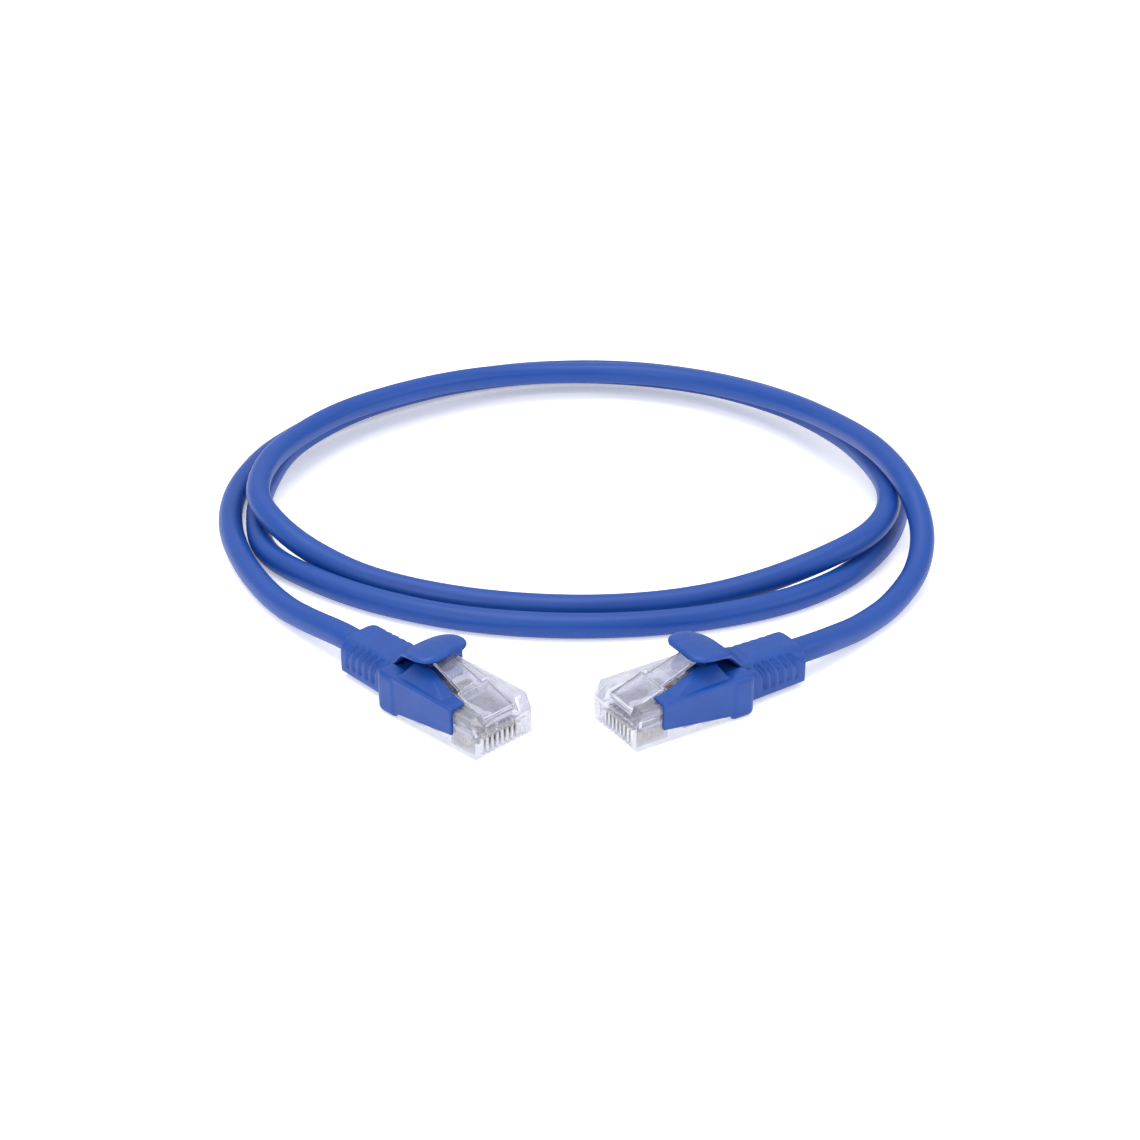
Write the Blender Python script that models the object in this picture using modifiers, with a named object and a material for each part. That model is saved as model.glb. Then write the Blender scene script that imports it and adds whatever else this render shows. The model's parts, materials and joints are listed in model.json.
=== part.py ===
"""Ethernet patch cable: two clear eight-contact plugs in snagless boots, on one round jacketed cable.

Units are metres, +Z up, the floor is z = 0. Each end is built in its own frame, which an empty
places: +X points out of the plug's nose, +Y to its left, and the origin is the bottom of the nose.
"""

import math

import bmesh
import bpy
from mathutils import Vector

MM = 0.001

# Plug housing
PLUG_WIDTH = 11.68 * MM
PLUG_HEIGHT = 6.5 * MM
PLUG_LENGTH = 20.0 * MM
NOSE_FACE_HEIGHT = 4.1 * MM
NOSE_CHAMFER_DEPTH = 1.2 * MM
JACKET_CAVITY_FRONT = -9.0 * MM
JACKET_CAVITY_HALF_WIDTH = 4.9 * MM
JACKET_CAVITY_FLOOR = 1.0 * MM
JACKET_CAVITY_ROOF = 5.8 * MM
WIRE_CAVITY_FRONT = -1.7 * MM
WIRE_CAVITY_HALF_WIDTH = 4.35 * MM
WIRE_CAVITY_FLOOR = 2.85 * MM
WIRE_CAVITY_ROOF = 4.05 * MM
LATCH_POCKET_FLOOR = 4.4 * MM

# Contacts and conductors
CONTACT_COUNT = 8
CONTACT_PITCH = 1.02 * MM
CONTACT_THICKNESS = 0.3 * MM
CONTACT_SLOT_WIDTH = 0.54 * MM
CONTACT_SLOT_BACK = -6.6 * MM
WIRE_DIAMETER = 0.8 * MM
WIRE_HEIGHT = 3.45 * MM
BUNDLE_RADIUS = 1.25 * MM

# Latch, in the plug's side view
LATCH_HINGE = Vector((-1.8 * MM, 0.0, 5.4 * MM))
LATCH_SLOPE = 0.345
LATCH_THICKNESS = 0.95 * MM
LATCH_BASE_WIDTH = 6.0 * MM
LATCH_TAIL_WIDTH = 4.3 * MM
LATCH_TAIL_TAPER = 0.8
LATCH_SHOULDER = -6.8 * MM
LATCH_END = -14.5 * MM

# Boot
FIT = 0.15 * MM
BOOT_WALL = 0.65 * MM
SLEEVE_FRONT = -4.4 * MM
SLEEVE_BACK = -16.6 * MM
COLLAR_FRONT = -16.9 * MM
COLLAR_BACK = -21.4 * MM
COLLAR_HALF_WIDTH = 6.8 * MM
COLLAR_HEIGHT = 7.4 * MM
NECK_BACK = -33.0 * MM
NECK_HALF_WIDTH = 4.5 * MM
NECK_BOTTOM = 0.5 * MM
NECK_TOP = 7.0 * MM
NECK_TOP_RADIUS = 2.6 * MM
NECK_BOTTOM_RADIUS = 0.8 * MM
NECK_TAPER = 0.94
NOTCH_BACK = -13.2 * MM
HUMP_TOP = 8.85 * MM
TAB_HINGE = Vector((-22.0 * MM, 0.0, 7.0 * MM))
TAB_THICKNESS = 1.1 * MM

# Cable
CABLE_DIAMETER = 4.2 * MM
BORE_CLEARANCE = 0.2 * MM
END_GAP = 0.3 * MM
EXIT_HEIGHT = 3.9 * MM
STRAIGHT_EXIT = 4.7 * MM
SQUARE_END = 1.5 * MM
CABLE_POINTS = 78
CABLE_STEPS = 12

# The two ends: where the nose's bottom is, and the heading of the nose in degrees. The two boots
# mirror each other: the side that faces the coil is cut short, so that the plug shows there.
ENDS = {
    "left": (Vector((-10.34, -11.155, 0.0)) * MM, -45.3),
    "right": (Vector((6.36, -8.155, 0.0)) * MM, 212.1),
}

COIL_SIDE = {"left": 1, "right": -1}

# The free cable's route in millimetres about the coil's middle, chosen by hand, from the left end to
# the right end. It winds clockwise seen from above: each turn lies inside the one before it and is
# propped up by it, and the last stretch passes over the right side on its way out.
COIL_CENTRE = Vector((0.73, 75.655, 0.0)) * MM
CABLE_ROUTE = (
    (-43.6, -53.4, 2.9), (-48.2, -47.6, 2.2), (-52.8, -40.4, 2.1), (-57.2, -31.0, 2.1),
    (-60.6, -20.0, 2.1), (-61.8, -9.0, 2.1), (-60.6, 2.0, 2.1), (-56.6, 14.0, 2.1),
    (-47.0, 28.0, 2.1), (-31.5, 41.0, 2.1), (-15.5, 49.0, 2.1), (0.5, 51.6, 2.1),
    (16.0, 49.9, 2.1), (31.6, 43.6, 2.1), (44.8, 33.0, 2.1), (54.0, 19.7, 2.1),
    (58.2, 5.7, 2.1), (58.5, -7.7, 2.1), (56.1, -19.2, 2.1), (51.5, -29.3, 2.1),
    (43.8, -39.4, 2.1), (32.4, -47.3, 2.1), (17.2, -52.5, 2.1), (0.1, -54.1, 2.1),
    (-17.0, -52.0, 2.1), (-32.0, -46.2, 2.1), (-44.0, -38.2, 2.1), (-53.0, -28.6, 2.1),
    (-56.4, -16.3, 2.2), (-56.4, -2.5, 2.8), (-52.8, 12.1, 3.6), (-43.2, 25.9, 4.1),
    (-29.1, 37.3, 4.1), (-14.5, 44.6, 3.7), (0.5, 47.2, 3.4), (15.5, 45.4, 3.3),
    (29.6, 39.2, 3.5), (42.0, 28.2, 3.9), (50.3, 14.2, 4.7), (54.7, -0.9, 5.7),
    (55.8, -14.0, 6.4), (53.1, -26.0, 7.0), (46.2, -34.6, 6.3), (31.5, -42.0, 3.7),
    (17.0, -46.3, 2.4), (-0.1, -48.0, 2.2), (-17.7, -45.5, 2.2), (-33.6, -39.7, 2.8),
    (-44.4, -32.6, 4.2), (-51.9, -25.0, 6.2), (-56.0, -16.0, 7.2), (-55.8, -4.0, 7.5),
    (-51.5, 8.0, 7.5), (-42.8, 20.7, 7.3), (-28.3, 33.2, 6.6), (-14.6, 40.3, 5.8),
    (0.4, 42.9, 5.3), (15.4, 41.3, 5.5), (29.0, 34.4, 6.2), (41.5, 22.3, 7.5), (49.5, 8.2, 9.3),
    (54.9, -6.0, 10.7), (58.3, -18.6, 9.9), (59.6, -28.9, 6.7), (57.6, -37.8, 3.6),
    (52.4, -47.0, 2.2), (46.4, -54.6, 2.3), (41.2, -60.2, 3.2),
)

CONDUCTOR_COLOURS = (
    (0.78, 0.70, 0.66),
    (0.66, 0.42, 0.30),
    (0.68, 0.72, 0.70),
    (0.36, 0.44, 0.62),
    (0.66, 0.69, 0.75),
    (0.42, 0.55, 0.46),
    (0.68, 0.65, 0.65),
    (0.40, 0.32, 0.28),
)


def clear_scene():
    for obj in list(bpy.data.objects):
        bpy.data.objects.remove(obj, do_unlink=True)


def new_collection(name):
    collection = bpy.data.collections.new(name)
    bpy.context.scene.collection.children.link(collection)
    return collection


def new_material(name, colour, roughness, metallic=0.0, transmission=0.0):
    material = bpy.data.materials.new(name)
    material.use_nodes = True
    shader = material.node_tree.nodes["Principled BSDF"]
    shader.inputs["Base Color"].default_value = (*colour, 1.0)
    shader.inputs["Roughness"].default_value = roughness
    shader.inputs["Metallic"].default_value = metallic
    shader.inputs["Transmission Weight"].default_value = transmission
    return material


def add_object(name, data, collection, parent=None, material=None):
    obj = bpy.data.objects.new(name, data)
    collection.objects.link(obj)
    obj.parent = parent
    if material is not None:
        data.materials.append(material)
    if collection is CUTTERS:
        obj.hide_render = True
        obj.display_type = "WIRE"
    return obj


def mesh_from_bmesh(name, shape):
    bmesh.ops.recalc_face_normals(shape, faces=shape.faces)
    mesh = bpy.data.meshes.new(name)
    shape.to_mesh(mesh)
    shape.free()
    return mesh


def box(name, low, high, collection, parent, material=None):
    """A box from its lowest to its highest corner, in its parent's frame."""
    low = Vector(low)
    high = Vector(high)
    shape = bmesh.new()
    bmesh.ops.create_cube(shape, size=1.0)
    bmesh.ops.scale(shape, vec=high - low, verts=shape.verts)
    bmesh.ops.translate(shape, vec=(low + high) / 2, verts=shape.verts)
    return add_object(name, mesh_from_bmesh(name, shape), collection, parent, material)


def curve_to_mesh_object(curve_object, material=None):
    """Turns a curve object into a mesh object with welded caps, under the same name and parent."""
    name = curve_object.name
    depsgraph = bpy.context.evaluated_depsgraph_get()
    mesh = bpy.data.meshes.new_from_object(curve_object.evaluated_get(depsgraph))
    shape = bmesh.new()
    shape.from_mesh(mesh)
    bmesh.ops.remove_doubles(shape, verts=shape.verts, dist=1e-7)
    bmesh.ops.recalc_face_normals(shape, faces=shape.faces)
    shape.transform(curve_object.matrix_basis)
    shape.to_mesh(mesh)
    shape.free()
    collection = curve_object.users_collection[0]
    parent = curve_object.parent
    bpy.data.objects.remove(curve_object, do_unlink=True)
    mesh.materials.clear()
    return add_object(name, mesh, collection, parent, material)


def side_outline(name, points, half_width, collection, parent, material=None):
    """A flat outline in the side view (x, z), made as thick as the piece is wide."""
    curve = bpy.data.curves.new(name, "CURVE")
    curve.dimensions = "2D"
    curve.fill_mode = "BOTH"
    curve.extrude = half_width
    spline = curve.splines.new("POLY")
    spline.points.add(len(points) - 1)
    for point, (x, z) in zip(spline.points, points):
        point.co = (x, z, 0.0, 1.0)
    spline.use_cyclic_u = True
    obj = add_object(name, curve, collection, parent)
    obj.rotation_euler = (math.pi / 2, 0.0, 0.0)
    bpy.context.view_layer.update()
    return curve_to_mesh_object(obj, material)


def top_outline(name, points, low, high, collection, parent):
    """A flat outline in the plan view (x, y), from the height low to the height high."""
    curve = bpy.data.curves.new(name, "CURVE")
    curve.dimensions = "2D"
    curve.fill_mode = "BOTH"
    curve.extrude = (high - low) / 2
    spline = curve.splines.new("POLY")
    spline.points.add(len(points) - 1)
    for point, (x, y) in zip(spline.points, points):
        point.co = (x, y, 0.0, 1.0)
    spline.use_cyclic_u = True
    obj = add_object(name, curve, collection, parent)
    obj.location = (0.0, 0.0, (low + high) / 2)
    bpy.context.view_layer.update()
    return curve_to_mesh_object(obj)


def rounded_section(half_width, low, high, low_radius, high_radius, steps=5):
    """The outline (y, z) of an upright block with round corners, from the lower right one on."""
    corners = (
        (half_width - low_radius, low + low_radius, low_radius, -math.pi / 2),
        (half_width - high_radius, high - high_radius, high_radius, 0.0),
        (high_radius - half_width, high - high_radius, high_radius, math.pi / 2),
        (low_radius - half_width, low + low_radius, low_radius, math.pi),
    )
    points = []
    for y, z, radius, start in corners:
        for step in range(steps + 1):
            angle = start + math.pi / 2 * step / steps
            points.append((y + radius * math.cos(angle), z + radius * math.sin(angle)))
    return points


def lengthwise_outline(name, points, back, front, collection, parent, material=None):
    """A flat outline in the end view (y, z), made as long as from back to front."""
    curve = bpy.data.curves.new(name, "CURVE")
    curve.dimensions = "2D"
    curve.fill_mode = "BOTH"
    curve.extrude = (front - back) / 2
    spline = curve.splines.new("POLY")
    spline.points.add(len(points) - 1)
    for point, (y, z) in zip(spline.points, points):
        point.co = (y, z, 0.0, 1.0)
    spline.use_cyclic_u = True
    obj = add_object(name, curve, collection, parent)
    obj.rotation_euler = (math.pi / 2, 0.0, math.pi / 2)
    obj.location = ((front + back) / 2, 0.0, 0.0)
    bpy.context.view_layer.update()
    return curve_to_mesh_object(obj, material)


def tube(name, points, diameter, collection, parent=None, material=None, resolution=2):
    """A round tube with closed ends along a list of points."""
    curve = bpy.data.curves.new(name, "CURVE")
    curve.dimensions = "3D"
    curve.bevel_depth = diameter / 2
    curve.bevel_resolution = resolution
    curve.use_fill_caps = True
    spline = curve.splines.new("POLY")
    spline.points.add(len(points) - 1)
    for point, place in zip(spline.points, points):
        point.co = (*place, 1.0)
    return add_object(name, curve, collection, parent, material)


def add_bevel(obj, width, segments=2):
    bevel = obj.modifiers.new("rounded edges", "BEVEL")
    bevel.width = width
    bevel.segments = segments
    bevel.limit_method = "ANGLE"
    bevel.angle_limit = math.radians(40)


def add_boolean(obj, other, operation="DIFFERENCE"):
    boolean = obj.modifiers.new(other.name, "BOOLEAN")
    boolean.operation = operation
    boolean.solver = "EXACT"
    boolean.object = other


def shade_smooth(mesh):
    mesh.shade_smooth()
    mesh.set_sharp_from_angle(angle=math.radians(35))


def smooth_path(points, steps):
    """A Catmull-Rom curve through the points, with a fixed number of steps between two points."""
    places = [Vector(point) for point in points]
    places.insert(0, 2 * places[0] - places[1])
    places.append(2 * places[-1] - places[-2])
    path = []
    for before, start, end, after in zip(places, places[1:], places[2:], places[3:]):
        for step in range(steps):
            t = step / steps
            path.append(
                0.5
                * (
                    2 * start
                    + (end - before) * t
                    + (2 * before - 5 * start + 4 * end - after) * t**2
                    + (3 * start - before - 3 * end + after) * t**3
                )
            )
    path.append(places[-2])
    return path


def evenly_spaced(path, count):
    """Points at equal distances along a path."""
    reached = [0.0]
    for start, end in zip(path, path[1:]):
        reached.append(reached[-1] + (end - start).length)
    points = []
    index = 0
    for number in range(count):
        wanted = reached[-1] * number / (count - 1)
        while index < len(path) - 2 and reached[index + 1] < wanted:
            index += 1
        part = (wanted - reached[index]) / (reached[index + 1] - reached[index])
        points.append(path[index].lerp(path[index + 1], part))
    return points


def build_housing(side, parent):
    """The clear plug body: a nose with contact slots, a wire cavity, and a cavity for the jacket."""
    half = PLUG_WIDTH / 2
    housing = side_outline(
        f"{side}_plug_housing",
        [
            (0.0, 0.0),
            (0.0, NOSE_FACE_HEIGHT),
            (-NOSE_CHAMFER_DEPTH, PLUG_HEIGHT),
            (-PLUG_LENGTH, PLUG_HEIGHT),
            (-PLUG_LENGTH, 0.0),
        ],
        half,
        PARTS,
        parent,
        MATERIALS["clear plastic"],
    )
    past = 0.5 * MM
    cutters = [
        box(
            f"{side}_jacket_cavity",
            (-PLUG_LENGTH - past, -JACKET_CAVITY_HALF_WIDTH, JACKET_CAVITY_FLOOR),
            (JACKET_CAVITY_FRONT, JACKET_CAVITY_HALF_WIDTH, JACKET_CAVITY_ROOF),
            CUTTERS,
            parent,
        ),
        box(
            f"{side}_wire_cavity",
            (JACKET_CAVITY_FRONT - past, -WIRE_CAVITY_HALF_WIDTH, WIRE_CAVITY_FLOOR),
            (WIRE_CAVITY_FRONT, WIRE_CAVITY_HALF_WIDTH, WIRE_CAVITY_ROOF),
            CUTTERS,
            parent,
        ),
        box(
            f"{side}_latch_base_pocket",
            (-7.2 * MM, -3.4 * MM, LATCH_POCKET_FLOOR),
            (past, 3.4 * MM, PLUG_HEIGHT + past),
            CUTTERS,
            parent,
        ),
        box(
            f"{side}_clamp_window",
            (-17.0 * MM, -3.6 * MM, -past),
            (-13.0 * MM, 3.6 * MM, JACKET_CAVITY_FLOOR + past),
            CUTTERS,
            parent,
        ),
    ]
    tail_pocket = side_outline(
        f"{side}_latch_tail_pocket",
        [
            (-7.0 * MM, 4.9 * MM),
            (-7.0 * MM, PLUG_HEIGHT + past),
            (-11.6 * MM, PLUG_HEIGHT + past),
            (-11.2 * MM, 6.1 * MM),
        ],
        2.1 * MM,
        CUTTERS,
        parent,
    )
    cutters.append(tail_pocket)
    for index in range(CONTACT_COUNT):
        y = contact_place(index)
        cutters.append(
            box(
                f"{side}_contact_slot_{index + 1}",
                (CONTACT_SLOT_BACK, y - CONTACT_SLOT_WIDTH / 2, -past),
                (past, y + CONTACT_SLOT_WIDTH / 2, 2.6 * MM),
                CUTTERS,
                parent,
            )
        )
        cutters.append(
            box(
                f"{side}_contact_gate_{index + 1}",
                (CONTACT_SLOT_BACK, y - CONTACT_SLOT_WIDTH / 2, 2.5 * MM),
                (-2.2 * MM, y + CONTACT_SLOT_WIDTH / 2, 3.0 * MM),
                CUTTERS,
                parent,
            )
        )
    for cutter in cutters:
        add_boolean(housing, cutter)
    return housing


def contact_place(index):
    return (index - (CONTACT_COUNT - 1) / 2) * CONTACT_PITCH


def build_contacts(side, parent):
    """Eight flat blades that stand in the nose's slots, each with two teeth under its conductor."""
    for index in range(CONTACT_COUNT):
        blade = side_outline(
            f"{side}_contact_{index + 1}",
            [
                (-1.0 * MM, 0.9 * MM),
                (-1.6 * MM, 0.45 * MM),
                (-6.0 * MM, 0.45 * MM),
                (-6.3 * MM, 0.8 * MM),
                (-6.3 * MM, 2.3 * MM),
                (-5.2 * MM, 2.8 * MM),
                (-4.6 * MM, 2.2 * MM),
                (-3.8 * MM, 2.2 * MM),
                (-3.2 * MM, 2.8 * MM),
                (-2.6 * MM, 2.2 * MM),
                (-1.3 * MM, 2.2 * MM),
                (-1.0 * MM, 1.9 * MM),
            ],
            CONTACT_THICKNESS / 2,
            PARTS,
            parent,
            MATERIALS["gold"],
        )
        blade.location.y = contact_place(index)


def build_conductors(side, parent):
    """Eight insulated conductors: flat side by side over the contacts, round the jacket's end behind."""
    for index in range(CONTACT_COUNT):
        flat_y = contact_place(index)
        # From right to left the conductors go to the ring's places two by two, low then high.
        across = (-1, -1, -0.414, -0.414, 0.414, 0.414, 1, 1)[index]
        high = 1 if index % 2 else -1
        reach = BUNDLE_RADIUS * math.cos(math.pi / 8)
        ring_y = across * reach
        ring_z = high * math.sqrt(BUNDLE_RADIUS**2 - ring_y**2)
        points = [
            (-2.0 * MM, flat_y, WIRE_HEIGHT),
            (-11.4 * MM, flat_y, WIRE_HEIGHT),
            (-12.9 * MM, (flat_y + ring_y) / 2, WIRE_HEIGHT + ring_z),
            (-14.2 * MM, ring_y, WIRE_HEIGHT + ring_z),
        ]
        tube(
            f"{side}_wire_{index + 1}",
            points,
            WIRE_DIAMETER,
            PARTS,
            parent,
            MATERIALS[f"conductor {index + 1}"],
        )


def build_inner_pieces(side, parent):
    """The wire guide under the conductors and the clamp that is pressed against the jacket."""
    guide = box(
        f"{side}_wire_guide",
        (-11.2 * MM, -4.5 * MM, 1.4 * MM),
        (-9.3 * MM, 4.5 * MM, 2.7 * MM),
        PARTS,
        parent,
        MATERIALS["clear plastic"],
    )
    add_bevel(guide, 0.2 * MM, 1)
    side_outline(
        f"{side}_cord_clamp",
        [
            (-13.3 * MM, 0.2 * MM),
            (-16.7 * MM, 0.2 * MM),
            (-16.7 * MM, 0.6 * MM),
            (-14.2 * MM, 1.05 * MM),
            (-13.3 * MM, 0.9 * MM),
        ],
        3.3 * MM,
        PARTS,
        parent,
        MATERIALS["clear plastic"],
    )


def latch_line(x):
    """The height of the latch's centre line in the side view."""
    return LATCH_HINGE.z + (LATCH_HINGE.x - x) * LATCH_SLOPE


def build_latch(side, parent):
    """The springy latch: a wide base with two shoulders, and a narrow tail that rises to the rear."""
    half = LATCH_THICKNESS / 2
    base_front = -1.0 * MM
    pivot = bpy.data.objects.new(f"{side} latch pivot", None)
    PARTS.objects.link(pivot)
    pivot.parent = parent
    pivot.location = LATCH_HINGE
    bpy.context.view_layer.update()

    def from_pivot(points):
        return [(x - LATCH_HINGE.x, z - LATCH_HINGE.z) for x, z in points]

    base = side_outline(
        f"{side}_latch",
        from_pivot(
            [
                (base_front, 4.75 * MM),
                (base_front, 5.7 * MM),
                (-2.2 * MM, latch_line(-2.2 * MM) + half),
                (LATCH_SHOULDER, latch_line(LATCH_SHOULDER) + half),
                (LATCH_SHOULDER, latch_line(LATCH_SHOULDER) - half),
                (-2.4 * MM, latch_line(-2.4 * MM) - half),
                (-1.9 * MM, 4.75 * MM),
            ]
        ),
        LATCH_BASE_WIDTH / 2,
        PARTS,
        pivot,
        MATERIALS["clear plastic"],
    )
    overlap = 0.8 * MM
    tail_top = latch_line(LATCH_END) + half
    tail = side_outline(
        f"{side}_latch_tail",
        from_pivot(
            [
                (LATCH_SHOULDER + overlap, latch_line(LATCH_SHOULDER + overlap) + 0.8 * half),
                (LATCH_END, tail_top),
                (LATCH_END, tail_top - 0.7 * LATCH_THICKNESS),
                (LATCH_SHOULDER + overlap, latch_line(LATCH_SHOULDER + overlap) - 0.8 * half),
            ]
        ),
        LATCH_TAIL_WIDTH / 2,
        CUTTERS,
        pivot,
    )
    for vertex in tail.data.vertices:
        if vertex.co.x < LATCH_END - LATCH_HINGE.x + overlap:
            vertex.co.y *= LATCH_TAIL_TAPER
    add_boolean(base, tail, "UNION")


def jacket_line():
    """The centre line of the held stretch of cable, from inside the plug to the boot's rear end."""
    return smooth_path(
        [
            (-14.5 * MM, 0.0, WIRE_HEIGHT),
            (-19.5 * MM, 0.0, WIRE_HEIGHT),
            (-23.5 * MM, 0.0, 3.6 * MM),
            (-28.0 * MM, 0.0, 3.8 * MM),
            (NECK_BACK, 0.0, EXIT_HEIGHT),
        ],
        3,
    )


def build_boot(side, parent):
    """The snagless boot: a neck round the cable, a collar, and a sleeve over the plug's rear half.

    On the coil's side the sleeve ends just in front of the collar.
    """
    past = 1.0 * MM
    sleeve_half = PLUG_WIDTH / 2 + FIT + BOOT_WALL
    sleeve_top = PLUG_HEIGHT + FIT + BOOT_WALL
    neck = lengthwise_outline(
        f"{side}_boot",
        rounded_section(
            NECK_HALF_WIDTH, NECK_BOTTOM, NECK_TOP, NECK_BOTTOM_RADIUS, NECK_TOP_RADIUS
        ),
        NECK_BACK,
        COLLAR_BACK + past,
        PARTS,
        parent,
        MATERIALS["blue boot"],
    )
    for vertex in neck.data.vertices:
        if vertex.co.x < NECK_BACK + past:
            vertex.co.y *= NECK_TAPER
            vertex.co.z = EXIT_HEIGHT + (vertex.co.z - EXIT_HEIGHT) * NECK_TAPER
    add_bevel(neck, 0.5 * MM, 2)
    collar = box(
        f"{side}_boot_collar",
        (COLLAR_BACK, -COLLAR_HALF_WIDTH, 0.0),
        (COLLAR_FRONT, COLLAR_HALF_WIDTH, COLLAR_HEIGHT),
        CUTTERS,
        parent,
    )
    add_bevel(collar, 1.0 * MM, 3)
    sleeve = side_outline(
        f"{side}_boot_sleeve",
        [
            (COLLAR_FRONT - past, 1.0 * MM),
            (COLLAR_FRONT - past, sleeve_top),
            (SLEEVE_FRONT, sleeve_top),
            (SLEEVE_FRONT, 2.7 * MM),
            (SLEEVE_BACK, 1.0 * MM),
        ],
        sleeve_half,
        CUTTERS,
        parent,
    )
    add_bevel(sleeve, 0.4 * MM, 2)
    hump = side_outline(
        f"{side}_boot_hump",
        [
            (-17.3 * MM, 6.9 * MM),
            (-16.5 * MM, HUMP_TOP),
            (NOTCH_BACK, HUMP_TOP),
            (-6.2 * MM, 7.1 * MM),
            (-6.2 * MM, 6.9 * MM),
        ],
        6.2 * MM,
        CUTTERS,
        parent,
    )
    for vertex in hump.data.vertices:
        if vertex.co.z > HUMP_TOP - 0.1 * MM:
            vertex.co.y *= 0.48
    add_boolean(neck, collar, "UNION")
    add_boolean(neck, sleeve, "UNION")
    add_boolean(neck, hump, "UNION")
    plug_space = box(
        f"{side}_boot_plug_space",
        (-PLUG_LENGTH - FIT, -PLUG_WIDTH / 2 - FIT, -past),
        (past, PLUG_WIDTH / 2 + FIT, PLUG_HEIGHT + FIT),
        CUTTERS,
        parent,
    )
    latch_notch = top_outline(
        f"{side}_boot_latch_notch",
        [
            (NOTCH_BACK, -2.25 * MM),
            (SLEEVE_FRONT + past, -3.75 * MM),
            (SLEEVE_FRONT + past, 3.75 * MM),
            (NOTCH_BACK, 2.25 * MM),
        ],
        5.0 * MM,
        9.5 * MM,
        CUTTERS,
        parent,
    )
    latch_trough = box(
        f"{side}_boot_latch_trough",
        (-15.0 * MM, -2.3 * MM, 7.8 * MM),
        (-12.0 * MM, 2.3 * MM, 9.5 * MM),
        CUTTERS,
        parent,
    )
    coil_side = COIL_SIDE[side]
    short_side = top_outline(
        f"{side}_boot_short_side",
        [
            (NOTCH_BACK, 0.5 * MM * coil_side),
            (NOTCH_BACK - 2.4 * MM, 3.2 * MM * coil_side),
            (NOTCH_BACK - 3.2 * MM, 9.0 * MM * coil_side),
            (past, 9.0 * MM * coil_side),
            (past, 0.5 * MM * coil_side),
        ],
        -past,
        9.5 * MM,
        CUTTERS,
        parent,
    )
    root_pocket = box(
        f"{side}_boot_root_pocket",
        (-23.2 * MM, -3.8 * MM, 6.3 * MM),
        (-20.4 * MM, 3.8 * MM, 9.0 * MM),
        CUTTERS,
        parent,
    )
    tab_hollow = lengthwise_outline(
        f"{side}_boot_tab_hollow",
        [
            (-4.2 * MM, 9.0 * MM),
            (-3.6 * MM, 7.1 * MM),
            (-2.4 * MM, 6.95 * MM),
            (2.4 * MM, 6.95 * MM),
            (3.6 * MM, 7.1 * MM),
            (4.2 * MM, 9.0 * MM),
        ],
        -20.8 * MM,
        -17.3 * MM,
        CUTTERS,
        parent,
    )
    line = jacket_line()
    bore = tube(
        f"{side}_boot_bore",
        [line[0], *line[4:], line[-1] + Vector((-past, 0.0, 0.0))],
        CABLE_DIAMETER + 2 * BORE_CLEARANCE,
        CUTTERS,
        parent,
        resolution=4,
    )
    bpy.context.view_layer.update()
    bore = curve_to_mesh_object(bore)
    cutters = (root_pocket, tab_hollow, latch_notch, latch_trough, short_side, bore, plug_space)
    for cutter in cutters:
        add_boolean(neck, cutter)


def tab_section(x, z, slope, half_width, edge):
    """The corners of the tab across its length: a flat strip with two rounded sides."""
    across = []
    half = edge / 2
    normal = Vector((-slope, 0.0, 1.0)).normalized()
    for turn in range(5):
        angle = -math.pi / 2 + turn * math.pi / 4
        across.append((half_width - half + half * math.cos(angle), half * math.sin(angle)))
    ring = across + [(-y, -n) for y, n in across]
    centre = Vector((x, 0.0, z))
    return [centre + Vector((0.0, y, 0.0)) + normal * n for y, n in ring]


def build_tab(side, parent):
    """The boot's tongue: it springs up from the neck and spreads over the latch's tail."""
    stations = [
        (-22.7, 6.95, 3.2),
        (-21.4, 7.3, 3.2),
        (-20.2, 8.3, 3.3),
        (-18.8, 9.45, 3.8),
        (-17.2, 10.25, 4.6),
        (-15.8, 10.7, 5.0),
        (-14.2, 10.95, 5.0),
        (-12.9, 11.0, 4.5),
        (-12.0, 10.95, 3.8),
        (-11.6, 10.9, 2.8),
    ]
    pivot = bpy.data.objects.new(f"{side} tab pivot", None)
    PARTS.objects.link(pivot)
    pivot.parent = parent
    pivot.location = TAB_HINGE
    shape = bmesh.new()
    rings = []
    for index, (x, z, half_width) in enumerate(stations):
        before = stations[max(index - 1, 0)]
        after = stations[min(index + 1, len(stations) - 1)]
        slope = (after[1] - before[1]) / (after[0] - before[0])
        corners = tab_section(x * MM, z * MM, slope, half_width * MM, TAB_THICKNESS)
        rings.append([shape.verts.new(corner - TAB_HINGE) for corner in corners])
    for first, second in zip(rings, rings[1:]):
        for corner in range(len(first)):
            following = (corner + 1) % len(first)
            shape.faces.new((first[corner], first[following], second[following], second[corner]))
    shape.faces.new(rings[0])
    shape.faces.new(rings[-1])
    name = f"{side}_boot_tab"
    tab = add_object(name, mesh_from_bmesh(name, shape), PARTS, pivot, MATERIALS["blue boot"])
    shade_smooth(tab.data)


def build_end(side):
    place, heading = ENDS[side]
    frame = bpy.data.objects.new(f"{side} end", None)
    PARTS.objects.link(frame)
    frame.location = place
    frame.rotation_euler = (0.0, 0.0, math.radians(heading))
    bpy.context.view_layer.update()
    build_housing(side, frame)
    build_contacts(side, frame)
    build_conductors(side, frame)
    build_inner_pieces(side, frame)
    build_latch(side, frame)
    build_boot(side, frame)
    build_tab(side, frame)
    tube(
        f"{side}_cable_end",
        jacket_line(),
        CABLE_DIAMETER,
        PARTS,
        frame,
        MATERIALS["blue jacket"],
        resolution=4,
    )


def behind_boot(side, distance):
    """The point on the cable's way out of the boot, this far behind the neck's rear end."""
    place, heading = ENDS[side]
    angle = math.radians(heading)
    back = -NECK_BACK + distance
    return place + Vector((-math.cos(angle) * back, -math.sin(angle) * back, EXIT_HEIGHT))


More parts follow.
